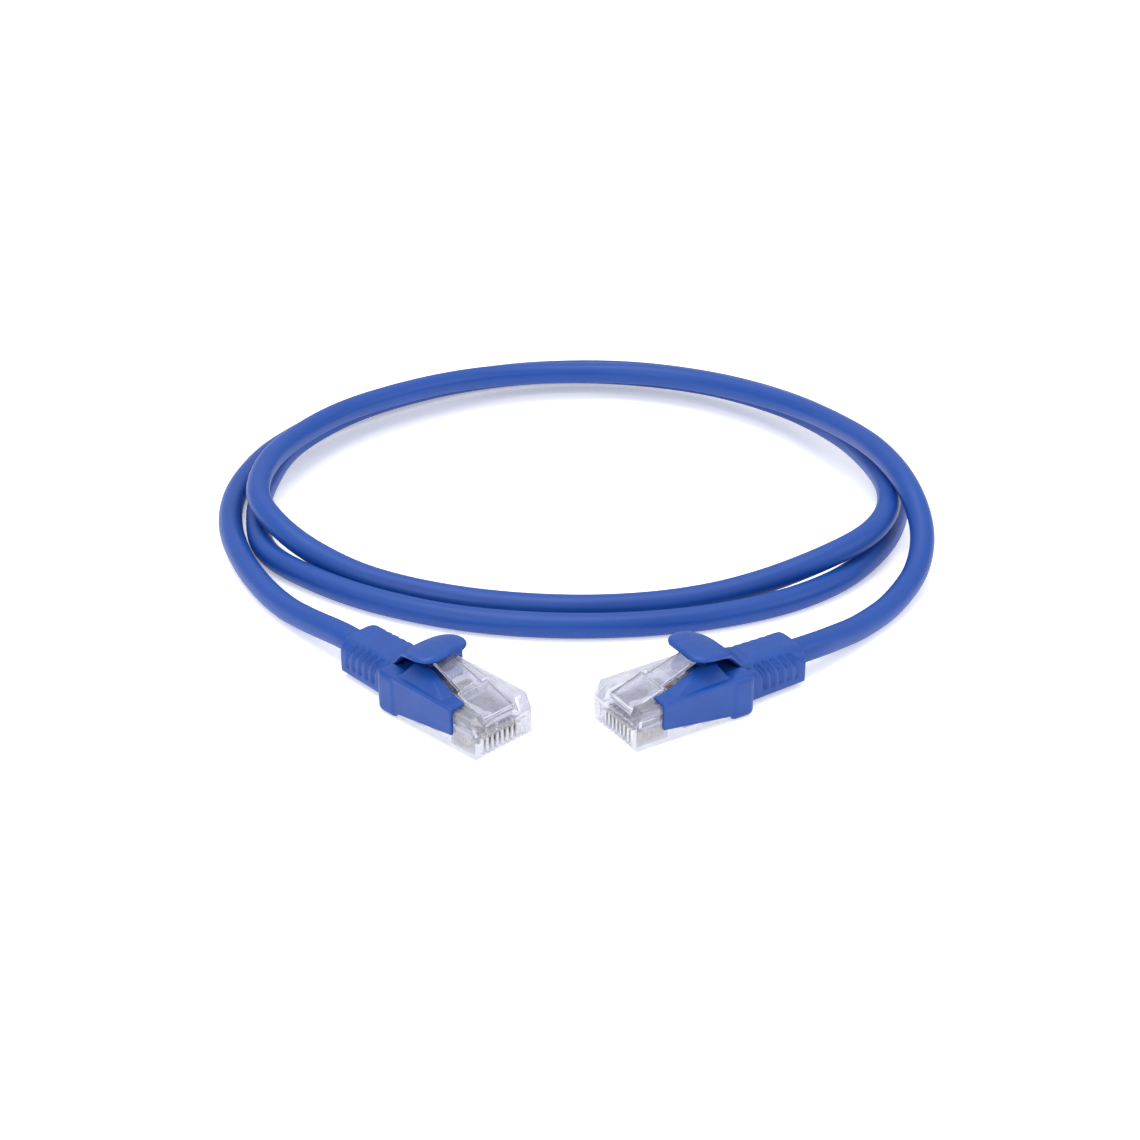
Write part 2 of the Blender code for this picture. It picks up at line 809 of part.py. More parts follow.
def build_cable():
    """The free cable between the two boots."""
    route = [behind_boot("left", END_GAP), behind_boot("left", END_GAP + STRAIGHT_EXIT)]
    route += [COIL_CENTRE + Vector(point) * MM for point in CABLE_ROUTE]
    route += [behind_boot("right", END_GAP + STRAIGHT_EXIT), behind_boot("right", END_GAP)]
    path = evenly_spaced(smooth_path(route, CABLE_STEPS), CABLE_POINTS)
    # A short straight stretch keeps each end face square to its boot.
    path.insert(1, behind_boot("left", END_GAP + SQUARE_END))
    path.insert(-1, behind_boot("right", END_GAP + SQUARE_END))
    tube("cable", path, CABLE_DIAMETER, PARTS, None, MATERIALS["blue jacket"])


clear_scene()
PARTS = new_collection("ethernet patch cable")
CUTTERS = new_collection("cutters")
MATERIALS = {
    "blue jacket": new_material("blue jacket", (0.045, 0.130, 0.460), 0.45),
    "blue boot": new_material("blue boot", (0.042, 0.120, 0.430), 0.50),
    "clear plastic": new_material("clear plastic", (0.92, 0.93, 0.96), 0.08, transmission=0.9),
    "gold": new_material("gold", (0.85, 0.62, 0.25), 0.25, metallic=1.0),
}
for number, conductor_colour in enumerate(CONDUCTOR_COLOURS, start=1):
    MATERIALS[f"conductor {number}"] = new_material(f"conductor {number}", conductor_colour, 0.4)
for end_side in ENDS:
    build_end(end_side)
build_cable()
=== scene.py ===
"""Blue ethernet patch cable: the finished surfaces of both ends and of the coiled cable.

Units are metres. Each end is made in its own plug frame: +X out of the nose, +Y to its left, and
the origin at the bottom of the nose. The two nose mounts of the record say where the ends lie.
"""

import json
import math

import bmesh
import bpy
import numpy as np
from mathutils import Matrix, Vector


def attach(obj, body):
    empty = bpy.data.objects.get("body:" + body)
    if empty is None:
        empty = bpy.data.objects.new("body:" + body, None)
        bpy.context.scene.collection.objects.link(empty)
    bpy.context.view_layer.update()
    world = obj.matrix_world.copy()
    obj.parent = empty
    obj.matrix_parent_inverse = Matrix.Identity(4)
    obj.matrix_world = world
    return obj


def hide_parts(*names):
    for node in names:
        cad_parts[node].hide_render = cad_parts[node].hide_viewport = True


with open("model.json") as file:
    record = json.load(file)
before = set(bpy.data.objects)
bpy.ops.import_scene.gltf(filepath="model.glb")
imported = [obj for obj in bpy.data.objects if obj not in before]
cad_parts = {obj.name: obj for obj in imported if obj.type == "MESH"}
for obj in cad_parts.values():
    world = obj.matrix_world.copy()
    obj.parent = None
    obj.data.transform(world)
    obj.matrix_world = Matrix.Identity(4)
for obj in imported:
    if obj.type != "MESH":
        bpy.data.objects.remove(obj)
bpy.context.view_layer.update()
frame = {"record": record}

MM = 0.001
SIDES = ("left", "right")
MOUNTS = {mount["name"]: mount for mount in frame["record"]["mounts"]}

# Camera
CAMERA_PLACE = Vector((-1.54, -289.995, 179.8)) * MM
CAMERA_PITCH_DOWN = math.radians(28.25)
CAMERA_TURN_RIGHT = 0.004
CAMERA_LENS = 69.54
CAMERA_SENSOR = 36.0

# Cable
CABLE_DIAMETER = 4.2 * MM
CABLE_EXIT_HEIGHT = 3.9 * MM
NECK_BACK = -33.0 * MM
END_GAP = 0.3 * MM
STRAIGHT_EXIT = 4.7 * MM
CABLE_STEPS = 12

# The route in millimetres about the coil's middle, from the left end to the right end. Each turn lies
# inside the one before it, and the last stretch passes over the right side on its way out.
COIL_CENTRE = Vector((0.73, 75.655, 0.0)) * MM
CABLE_ROUTE = (
    (-43.6, -53.4, 2.9), (-48.2, -47.6, 2.2), (-52.8, -40.4, 2.1), (-57.2, -31.0, 2.1),
    (-60.6, -20.0, 2.1), (-61.8, -9.0, 2.1), (-60.6, 2.0, 2.1), (-56.6, 14.0, 2.1),
    (-47.0, 28.0, 2.1), (-31.5, 41.0, 2.1), (-15.5, 49.0, 2.1), (0.5, 51.6, 2.1),
    (16.0, 49.9, 2.1), (31.6, 43.6, 2.1), (44.8, 33.0, 2.1), (54.0, 19.7, 2.1),
    (58.2, 5.7, 2.1), (58.5, -7.7, 2.1), (56.1, -19.2, 2.1), (51.5, -29.3, 2.1),
    (43.8, -39.4, 2.1), (32.4, -47.3, 2.1), (17.2, -52.5, 2.1), (0.1, -54.1, 2.1),
    (-17.0, -52.0, 2.1), (-32.0, -46.2, 2.1), (-44.0, -38.2, 2.1), (-53.0, -28.6, 2.1),
    (-56.4, -16.3, 2.2), (-56.4, -2.5, 2.8), (-52.8, 12.1, 3.6), (-43.2, 25.9, 4.1),
    (-29.1, 37.3, 4.1), (-14.5, 44.6, 3.7), (0.5, 47.2, 3.4), (15.5, 45.4, 3.3),
    (29.6, 39.2, 3.5), (42.0, 28.2, 3.9), (50.3, 14.2, 4.7), (54.7, -0.9, 5.7),
    (55.8, -14.0, 6.4), (53.1, -26.0, 7.0), (46.2, -34.6, 6.3), (31.5, -42.0, 3.7),
    (17.0, -46.3, 2.4), (-0.1, -48.0, 2.2), (-17.7, -45.5, 2.2), (-33.6, -39.7, 2.8),
    (-44.4, -32.6, 4.2), (-51.9, -25.0, 6.2), (-56.0, -16.0, 7.2), (-55.8, -4.0, 7.5),
    (-51.5, 8.0, 7.5), (-42.8, 20.7, 7.3), (-28.3, 33.2, 6.6), (-14.6, 40.3, 5.8),
    (0.4, 42.9, 5.3), (15.4, 41.3, 5.5), (29.0, 34.4, 6.2), (41.5, 22.3, 7.5), (49.5, 8.2, 9.3),
    (54.9, -6.0, 10.7), (58.3, -18.6, 9.9), (59.6, -28.9, 6.7), (57.6, -37.8, 3.6),
    (52.4, -47.0, 2.2), (46.4, -54.6, 2.3), (41.2, -60.2, 3.2),
)

# Plug frame sizes shared by several pieces
CONTACT_COUNT = 8
CONTACT_PITCH = 1.02 * MM
WIRE_HEIGHT = 3.45 * MM
WIRE_RADIUS = 0.4 * MM
WIRE_CORE_RADIUS = 0.24 * MM
WIRE_BARE_LENGTH = 0.3 * MM
BUNDLE_RADIUS = 1.25 * MM

# The shallow window in the nose, and the rounding of the clear mouldings' edges
WINDOW_LOW = Vector((-0.3, -4.55, 0.4)) * MM
WINDOW_HIGH = Vector((1.0, 4.55, 3.3)) * MM
PLUG_ROUNDING = 0.14 * MM
LATCH_ROUNDING = 0.16 * MM

# The boot's moulded look: the size of its even faces, and how often they are smoothed
BOOT_FACE = 0.17 * MM
BOOT_SMOOTHING = 7

# The tongue, in millimetres: its middle line in the plug's side view, and its half width there
TONGUE_THICKNESS = 1.1
TONGUE_SIDES = 28
TONGUE_STEPS = 6
TONGUE_TIP_SHARE = 0.45
TONGUE_TIP_LENGTH = 2.0
TONGUE_CROWN = 0.12
TONGUE_ROOT_CROWN = 0.3
TONGUE_ROOT_FRONT = -20.0
TONGUE_ROOT_LENGTH = 2.0
TONGUE_STATIONS = (
    (-23.1, 6.2, 3.5),
    (-22.2, 6.35, 3.5),
    (-21.3, 6.8, 3.4),
    (-20.3, 7.8, 3.4),
    (-18.9, 9.3, 3.8),
    (-17.4, 10.2, 4.4),
    (-15.8, 10.7, 4.85),
    (-14.2, 10.93, 4.9),
    (-12.9, 10.97, 4.5),
    (-12.1, 10.93, 3.8),
    (-11.65, 10.88, 2.9),
)

# The jacket's colour, at its darkest and at its palest
BLUE = (0.002, 0.044, 0.258, 1.0)
PALE_BLUE = (0.004, 0.059, 0.305, 1.0)


# ---------------------------------------------------------------- helpers


def end_frame(side):
    """The place and heading of one end's plug frame, from the mount on its nose."""
    nose = MOUNTS[f"{side}_plug_nose"]
    forward = Vector(nose["axis"])
    left = Vector((0.0, 0.0, 1.0)).cross(forward)
    place = Vector(nose["pos_m"])
    return Matrix(
        (
            (forward.x, left.x, 0.0, place.x),
            (forward.y, left.y, 0.0, place.y),
            (0.0, 0.0, 1.0, 0.0),
            (0.0, 0.0, 0.0, 1.0),
        )
    )


FRAMES = {side: end_frame(side) for side in SIDES}


def add_node(tree, kind, sockets=None, **settings):
    """A node with its settings, and each socket given as a value or as the output that feeds it."""
    node = tree.nodes.new(kind)
    for name, value in settings.items():
        setattr(node, name, value)
    for key, value in (sockets or {}).items():
        if isinstance(value, bpy.types.NodeSocket):
            tree.links.new(value, node.inputs[key])
        else:
            node.inputs[key].default_value = value
    return node


def math_node(tree, operation, *values):
    return add_node(
        tree, "ShaderNodeMath", dict(enumerate(values)), operation=operation
    ).outputs[0]


def new_object(name, data):
    obj = bpy.data.objects.new(name, data)
    bpy.context.scene.collection.objects.link(obj)
    return obj


def evaluated_mesh(obj):
    """The plain mesh that an object and its modifiers make. The object is then removed."""
    depsgraph = bpy.context.evaluated_depsgraph_get()
    mesh = bpy.data.meshes.new_from_object(
        obj.evaluated_get(depsgraph), preserve_all_data_layers=True, depsgraph=depsgraph
    )
    bpy.data.objects.remove(obj, do_unlink=True)
    return mesh


def mesh_from(shape, name):
    mesh = bpy.data.meshes.new(name)
    shape.to_mesh(mesh)
    shape.free()
    return mesh


def blank(side, part):
    """An object in the plug frame from a CAD node: points merged, flat faces joined, no material."""
    node = f"{side}_{part}"
    shape = bmesh.new()
    shape.from_mesh(bpy.data.objects[node].data)
    bmesh.ops.remove_doubles(shape, verts=shape.verts, dist=1e-6)
    shape.transform(FRAMES[side].inverted())
    bmesh.ops.dissolve_limit(
        shape, angle_limit=math.radians(0.6), verts=shape.verts, edges=shape.edges
    )
    mesh = mesh_from(shape, f"{node} copy")
    mesh.materials.clear()
    return new_object(f"{node} blank", mesh)


def box_mesh(name, low, high):
    shape = bmesh.new()
    bmesh.ops.create_cube(shape, size=1.0)
    bmesh.ops.scale(shape, vec=high - low, verts=shape.verts)
    bmesh.ops.translate(shape, vec=(low + high) / 2, verts=shape.verts)
    return mesh_from(shape, name)


def cut(obj, cutter_mesh):
    """Cuts a mesh out of an object, and returns the cutter, to be removed afterwards."""
    cutter = new_object(f"{obj.name} cutter", cutter_mesh)
    cutter.hide_render = True
    boolean = obj.modifiers.new("cut", "BOOLEAN")
    boolean.operation = "DIFFERENCE"
    boolean.solver = "EXACT"
    boolean.object = cutter
    return cutter


def smooth_path(points, steps):
    """A Catmull-Rom curve through the points, with a fixed number of steps between two points."""
    places = [Vector(point) for point in points]
    places.insert(0, 2 * places[0] - places[1])
    places.append(2 * places[-1] - places[-2])
    path = []
    for before, start, end, after in zip(places, places[1:], places[2:], places[3:]):
        for step in range(steps):
            t = step / steps
            path.append(
                0.5
                * (
                    2 * start
                    + (end - before) * t
                    + (2 * before - 5 * start + 4 * end - after) * t**2
                    + (3 * start - before - 3 * end + after) * t**3
                )
            )
    path.append(places[-2])
    return path


def poly_curve(name, points):
    curve = bpy.data.curves.new(name, "CURVE")
    curve.dimensions = "3D"
    spline = curve.splines.new("POLY")
    spline.points.add(len(points) - 1)
    for point, place in zip(spline.points, points):
        point.co = (*place, 1.0)
    return curve


def finish_piece(name, mesh, side, body, replaced, material=None, sharp=35.0):
    """Puts a mesh from the plug frame into place, and attaches it to its body.

    It stands for the replaced node of the same end. The plug-frame place of each point is kept in
    millimetres, so that finishes follow the plug.
    """
    places = np.empty(len(mesh.vertices) * 3, np.float32)
    mesh.vertices.foreach_get("co", places)
    own = mesh.attributes.new("own_place", "FLOAT_VECTOR", "POINT")
    own.data.foreach_set("vector", places / MM)
    mesh.transform(FRAMES[side])
    mesh.shade_smooth()
    if sharp is not None:
        mesh.set_sharp_from_angle(angle=math.radians(sharp))
    if material is not None:
        mesh.materials.clear()
        mesh.materials.append(material)
    mesh.name = name
    obj = new_object(name, mesh)
    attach(obj, body)
    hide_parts(f"{side}_{replaced}")


# ---------------------------------------------------------------- finishes


def new_material(name, **constants):
    material = bpy.data.materials.new(name)
    material.use_nodes = True
    shader = material.node_tree.nodes["Principled BSDF"]
    for key, value in constants.items():
        shader.inputs[key.replace("_", " ")].default_value = value
    return material, material.node_tree, shader


def coordinates(tree, source):
    """Millimetres along a piece: from a named attribute, or from the object's own coordinates."""
    if source == "Object":
        place = add_node(tree, "ShaderNodeTexCoord").outputs["Object"]
        return add_node(
            tree, "ShaderNodeMapping", {"Vector": place, "Scale": (1000.0, 1000.0, 1000.0)}
        ).outputs["Vector"]
    return add_node(tree, "ShaderNodeAttribute", attribute_name=source).outputs["Vector"]


def noise(tree, vector, scale, detail=3.0, roughness=0.5, stretch=(1.0, 1.0, 1.0)):
    if stretch != (1.0, 1.0, 1.0):
        vector = add_node(
            tree, "ShaderNodeMapping", {"Vector": vector, "Scale": stretch}
        ).outputs["Vector"]
    return add_node(
        tree,
        "ShaderNodeTexNoise",
        {"Vector": vector, "Scale": scale, "Detail": detail, "Roughness": roughness},
    ).outputs["Fac"]


def between(tree, factor, low, high):
    """A value from low to high as the factor goes from 0.3 to 0.7, where most of a noise lies."""
    return add_node(
        tree,
        "ShaderNodeMapRange",
        {"Value": factor, "From Min": 0.3, "From Max": 0.7, "To Min": low, "To Max": high},
    ).outputs["Result"]


def colour_between(tree, factor, low, high):
    ramp = add_node(tree, "ShaderNodeValToRGB", {"Fac": factor})
    ramp.color_ramp.elements[0].position = 0.3
    ramp.color_ramp.elements[0].color = low
    ramp.color_ramp.elements[1].position = 0.7
    ramp.color_ramp.elements[1].color = high
    return ramp.outputs["Color"]


def mixed(tree, first, second, share):
    """The two values in one, with the second one's share."""
    return math_node(
        tree,
        "ADD",
        math_node(tree, "MULTIPLY", first, 1.0 - share),
        math_node(tree, "MULTIPLY", second, share),
    )


def bump(tree, height, strength, distance, before=None):
    sockets = {"Height": height, "Strength": strength, "Distance": distance}
    if before is not None:
        sockets["Normal"] = before
    return add_node(tree, "ShaderNodeBump", sockets).outputs["Normal"]


def jacket_finish(name, source):
    """Extruded PVC: faint streaks along the cable, fine orange peel, and slow changes of shade."""
    material, tree, shader = new_material(name, IOR=1.42)
    place = coordinates(tree, source)
    streaks = noise(tree, place, 2.2, 2.0, stretch=(0.02, 1.0, 1.0))
    peel = noise(tree, place, 5.0, 2.0)
    cloud = noise(tree, place, 0.06, 3.0)
    shade = mixed(tree, streaks, cloud, 0.5)
    tree.links.new(colour_between(tree, shade, BLUE, PALE_BLUE), shader.inputs["Base Color"])
    tree.links.new(between(tree, streaks, 0.40, 0.50), shader.inputs["Roughness"])
    height = bump(tree, streaks, 0.12, 0.02 * MM)
    tree.links.new(bump(tree, peel, 0.25, 0.01 * MM, height), shader.inputs["Normal"])
    return material


def boot_finish(name):
    """Moulded PVC: a fine even grain, slightly glossier where it was polished in the mould."""
    material, tree, shader = new_material(name, IOR=1.42)
    place = coordinates(tree, "own_place")
    grain = noise(tree, place, 9.0, 3.0, 0.6)
    cloud = noise(tree, place, 0.35, 3.0)
    flow = noise(tree, place, 1.1, 2.0, stretch=(0.25, 1.0, 1.0))
    shade = mixed(tree, grain, cloud, 0.65)
    tree.links.new(colour_between(tree, shade, BLUE, PALE_BLUE), shader.inputs["Base Color"])
    tree.links.new(between(tree, flow, 0.36, 0.46), shader.inputs["Roughness"])
    height = bump(tree, grain, 0.3, 0.012 * MM)
    tree.links.new(bump(tree, flow, 0.15, 0.03 * MM, height), shader.inputs["Normal"])
    return material


def clear_finish(name, source):
    """Clear polycarbonate: flow lines along the moulding and a slightly uneven gloss."""
    material, tree, shader = new_material(
        name,
        Transmission_Weight=0.85,
        IOR=1.30,
        Coat_Weight=1.0,
        Coat_IOR=1.55,
        Coat_Roughness=0.04,
    )
    place = coordinates(tree, source)
    flow = noise(tree, place, 0.9, 3.0, 0.6, stretch=(0.5, 1.0, 1.0))
    haze = noise(tree, place, 0.5, 2.0)
    tree.links.new(
        colour_between(tree, haze, (0.62, 0.63, 0.76, 1.0), (0.80, 0.81, 0.90, 1.0)),
        shader.inputs["Base Color"],
    )
    tree.links.new(between(tree, haze, 0.02, 0.09), shader.inputs["Roughness"])
    wavy = bump(tree, flow, 0.35, 0.06 * MM)
    tree.links.new(wavy, shader.inputs["Normal"])
    tree.links.new(wavy, shader.inputs["Coat Normal"])
    return material


def edge_highlight_finish(name, source):
    """The rounded edges of the clear mouldings, made milky white and less clear than the rest: a
    painted highlight where real edges gather light.
    """
    material, tree, shader = new_material(
        name, Transmission_Weight=0.25, IOR=1.45, Coat_Weight=1.0, Coat_Roughness=0.05
    )
    place = coordinates(tree, source)
    haze = noise(tree, place, 0.8, 2.0)
    # Near-white colour on the rounded edges: a painted highlight, not a colour of the clear moulding
    # itself.
    tree.links.new(
        colour_between(tree, haze, (0.80, 0.81, 0.88, 1.0), (0.96, 0.96, 1.0, 1.0)),
        shader.inputs["Base Color"],
    )
    tree.links.new(between(tree, haze, 0.08, 0.2), shader.inputs["Roughness"])
    return material


def gold_finish(name):
    """Gold-plated contact blade with fine rolling lines."""
    material, tree, shader = new_material(name, Metallic=1.0)
    place = coordinates(tree, "Object")
    lines = noise(tree, place, 6.0, 2.0, stretch=(1.0, 1.0, 0.1))
    tree.links.new(
        colour_between(tree, lines, (0.66, 0.55, 0.38, 1.0), (0.84, 0.74, 0.56, 1.0)),
        shader.inputs["Base Color"],
    )
    tree.links.new(between(tree, lines, 0.18, 0.32), shader.inputs["Roughness"])
    tree.links.new(bump(tree, lines, 0.2, 0.01 * MM), shader.inputs["Normal"])
    return material


def copper_finish(name):
    material, tree, shader = new_material(name, Metallic=1.0)
    place = coordinates(tree, "lay")
    lines = noise(tree, place, 8.0, 2.0)
    tree.links.new(
        colour_between(tree, lines, (0.62, 0.30, 0.16, 1.0), (0.85, 0.46, 0.28, 1.0)),
        shader.inputs["Base Color"],
    )
    tree.links.new(between(tree, lines, 0.25, 0.4), shader.inputs["Roughness"])
    return material


def insulation_finish(name, colour, stripe):
    """Conductor insulation, with a coloured stripe along the pale one of each pair."""
    material, tree, shader = new_material(name, IOR=1.5)
    place = coordinates(tree, "lay")
    grain = noise(tree, place, 5.0, 2.0)
    parts = add_node(tree, "ShaderNodeSeparateXYZ", {"Vector": place})
    on_stripe = math_node(tree, "GREATER_THAN", parts.outputs["Z"], STRIPE_EDGE)
    mix = add_node(
        tree,
        "ShaderNodeMix",
        {"Factor": on_stripe, "A": (*colour, 1.0), "B": (*stripe, 1.0)},
        data_type="RGBA",
    )
    tree.links.new(mix.outputs["Result"], shader.inputs["Base Color"])
    tree.links.new(between(tree, grain, 0.3, 0.42), shader.inputs["Roughness"])
    tree.links.new(bump(tree, grain, 0.2, 0.01 * MM), shader.inputs["Normal"])
    return material


def floor_finish(name):
    material, tree, shader = new_material(
        name, Emission_Color=(1.0, 1.0, 1.0, 1.0), Emission_Strength=0.35
    )
    place = coordinates(tree, "Object")
    cloud = noise(tree, place, 0.01, 2.0)
    tree.links.new(
        colour_between(tree, cloud, (0.90, 0.90, 0.90, 1.0), (0.93, 0.93, 0.93, 1.0)),
        shader.inputs["Base Color"],
    )
    tree.links.new(between(tree, cloud, 0.7, 0.8), shader.inputs["Roughness"])
    return material


# A conductor's stripe is where the lay attribute's third part is over this, in millimetres.
STRIPE_EDGE = 0.25

# The slot name, the insulation's colour and the stripe's colour, in the order of the contacts
NATURAL = (0.78, 0.78, 0.80)
ORANGE = (0.66, 0.42, 0.30)
GREEN = (0.42, 0.55, 0.46)
WIRE_BLUE = (0.36, 0.44, 0.62)
BROWN = (0.40, 0.32, 0.28)
WIRES = (
    ("white_orange", NATURAL, ORANGE),
    ("orange", ORANGE, ORANGE),
    ("white_green", NATURAL, GREEN),
    ("blue", WIRE_BLUE, WIRE_BLUE),
    ("white_blue", NATURAL, WIRE_BLUE),
    ("green", GREEN, GREEN),
    ("white_brown", NATURAL, BROWN),
    ("brown", BROWN, BROWN),
)

JACKET = jacket_finish("jacket PVC", "lay")
HELD_JACKET = jacket_finish("held jacket PVC", "Object")
BOOT = boot_finish("boot PVC")
CLEAR = clear_finish("clear polycarbonate", "own_place")
# A whiter copy of the clear finish for the rounded edges: a painted highlight.
CLEAR_EDGE_HIGHLIGHT = edge_highlight_finish("clear polycarbonate painted edge highlight", "own_place")
CLEAR_INNER = clear_finish("clear inner polycarbonate", "Object")
GOLD = gold_finish("gold plating")
COPPER = copper_finish("bare copper")


# ---------------------------------------------------------------- geometry node trees


def geometry_tree(name, sizes):
    """A new tree with a geometry input, named inputs for its sizes, and a geometry output."""
    tree = bpy.data.node_groups.new(name, "GeometryNodeTree")
    tree.interface.new_socket("Geometry", in_out="INPUT", socket_type="NodeSocketGeometry")
    for size, kind in sizes.items():
        tree.interface.new_socket(size, in_out="INPUT", socket_type=kind)
    tree.interface.new_socket("Geometry", in_out="OUTPUT", socket_type="NodeSocketGeometry")
    inputs = tree.nodes.new("NodeGroupInput").outputs
    return tree, inputs


def end_tree(tree, geometry, material):
    """Realizes the instances, sets the material, and connects the output."""
    realized = add_node(tree, "GeometryNodeRealizeInstances", {"Geometry": geometry})
    painted = add_node(
        tree,
        "GeometryNodeSetMaterial",
        {"Geometry": realized.outputs[0], "Material": material},
    )
    out = tree.nodes.new("NodeGroupOutput")
    tree.links.new(painted.outputs[0], out.inputs[0])


def run_tree(obj, tree, values):
    """Runs a tree on an object with these inputs, and returns the plain mesh that it makes."""
    modifier = obj.modifiers.new(tree.name, "NODES")
    modifier.node_group = tree
    for item in tree.interface.items_tree:
        if item.in_out == "INPUT" and item.name in values:
            modifier[item.identifier] = values[item.name]
    return evaluated_mesh(obj)


def tube_nodes(tree, curve, radius, sides, step, lobes=None, relief=None, twist=None):
    """A round tube with its lay attribute: millimetres along it, then across it, then up it.

    With lobes, the surface follows the pairs inside: a low wave round the tube that turns along it.
    """
    resampled = add_node(
        tree, "GeometryNodeResampleCurve", {"Curve": curve, "Length": step}, mode="LENGTH"
    )
    along = add_node(
        tree,
        "GeometryNodeCaptureAttribute",
        {"Geometry": resampled.outputs[0]},
        domain="POINT",
    )
    along.capture_items.new("FLOAT", "along")
    length = add_node(tree, "GeometryNodeSplineParameter").outputs["Length"]
    tree.links.new(length, along.inputs[1])
    ring = add_node(
        tree, "GeometryNodeCurvePrimitiveCircle", {"Resolution": sides, "Radius": radius}
    )
    turn = add_node(
        tree,
        "GeometryNodeCaptureAttribute",
        {"Geometry": ring.outputs["Curve"]},
        domain="POINT",
    )
    turn.capture_items.new("FLOAT", "turn")
    factor = add_node(tree, "GeometryNodeSplineParameter").outputs["Factor"]
    tree.links.new(factor, turn.inputs[1])
    swept = add_node(
        tree,
        "GeometryNodeCurveToMesh",
        {"Curve": along.outputs[0], "Profile Curve": turn.outputs[0], "Fill Caps": True},
    ).outputs[0]
    angle = math_node(tree, "MULTIPLY", turn.outputs[1], 2 * math.pi)
    reach = math_node(tree, "DIVIDE", radius, MM)
    lay = add_node(
        tree,
        "ShaderNodeCombineXYZ",
        {
            "X": math_node(tree, "DIVIDE", along.outputs[1], MM),
            "Y": math_node(tree, "MULTIPLY", math_node(tree, "COSINE", angle), reach),
            "Z": math_node(tree, "MULTIPLY", math_node(tree, "SINE", angle), reach),
        },
    )
    stored = add_node(
        tree,
        "GeometryNodeStoreNamedAttribute",
        {"Geometry": swept, "Name": "lay", "Value": lay.outputs[0]},
        data_type="FLOAT_VECTOR",
        domain="POINT",
    )
    if lobes is None:
        return stored.outputs[0]
    turned = math_node(tree, "MULTIPLY", along.outputs[1], 2 * math.pi)
    spin = math_node(tree, "DIVIDE", turned, twist)
    lobe_angle = math_node(tree, "MULTIPLY", angle, lobes)
    wave = math_node(tree, "SINE", math_node(tree, "ADD", lobe_angle, spin))
    outward = add_node(tree, "GeometryNodeInputNormal").outputs[0]
    lift = add_node(
        tree,
        "ShaderNodeVectorMath",
        {0: outward, "Scale": math_node(tree, "MULTIPLY", wave, relief)},
        operation="SCALE",
    )
    moved = add_node(
        tree,
        "GeometryNodeSetPosition",
        {"Geometry": stored.outputs[0], "Offset": lift.outputs[0]},
    )
    return moved.outputs[0]


def cable_tree():
    """The jacket of the free cable, swept along its route."""
    tree, inputs = geometry_tree(
        "jacket on its route",
        {
            "Radius": "NodeSocketFloat",
            "Sides": "NodeSocketInt",
            "Step": "NodeSocketFloat",
            "Lobes": "NodeSocketFloat",
            "Relief": "NodeSocketFloat",
            "Twist length": "NodeSocketFloat",
        },
    )
    jacket = tube_nodes(
        tree,
        inputs["Geometry"],
        inputs["Radius"],
        inputs["Sides"],
        inputs["Step"],
        inputs["Lobes"],
        inputs["Relief"],
        inputs["Twist length"],
    )
    end_tree(tree, jacket, JACKET)
    return tree


def conductor_tree(insulation):
    """One conductor: a copper core that stands out of its insulation at the front."""
    tree, inputs = geometry_tree(
        "conductor",
        {
            "Radius": "NodeSocketFloat",
            "Core radius": "NodeSocketFloat",
            "Bare length": "NodeSocketFloat",
            "Sides": "NodeSocketInt",
            "Step": "NodeSocketFloat",
        },
    )
    core = tube_nodes(
        tree, inputs["Geometry"], inputs["Core radius"], inputs["Sides"], inputs["Step"]
    )
    core = add_node(
        tree, "GeometryNodeSetMaterial", {"Geometry": core, "Material": COPPER}
    ).outputs[0]
    trimmed = add_node(
        tree,
        "GeometryNodeTrimCurve",
        {"Curve": inputs["Geometry"], "Start": inputs["Bare length"], "End": 1.0},
        mode="LENGTH",
    )
    cover = tube_nodes(
        tree, trimmed.outputs[0], inputs["Radius"], inputs["Sides"], inputs["Step"]
    )
    cover = add_node(
        tree, "GeometryNodeSetMaterial", {"Geometry": cover, "Material": insulation}
    ).outputs[0]
    joined = tree.nodes.new("GeometryNodeJoinGeometry")
    tree.links.new(cover, joined.inputs[0])
    tree.links.new(core, joined.inputs[0])
    realized = add_node(
        tree, "GeometryNodeRealizeInstances", {"Geometry": joined.outputs[0]}
    )
    out = tree.nodes.new("NodeGroupOutput")
    tree.links.new(realized.outputs[0], out.inputs[0])
    return tree


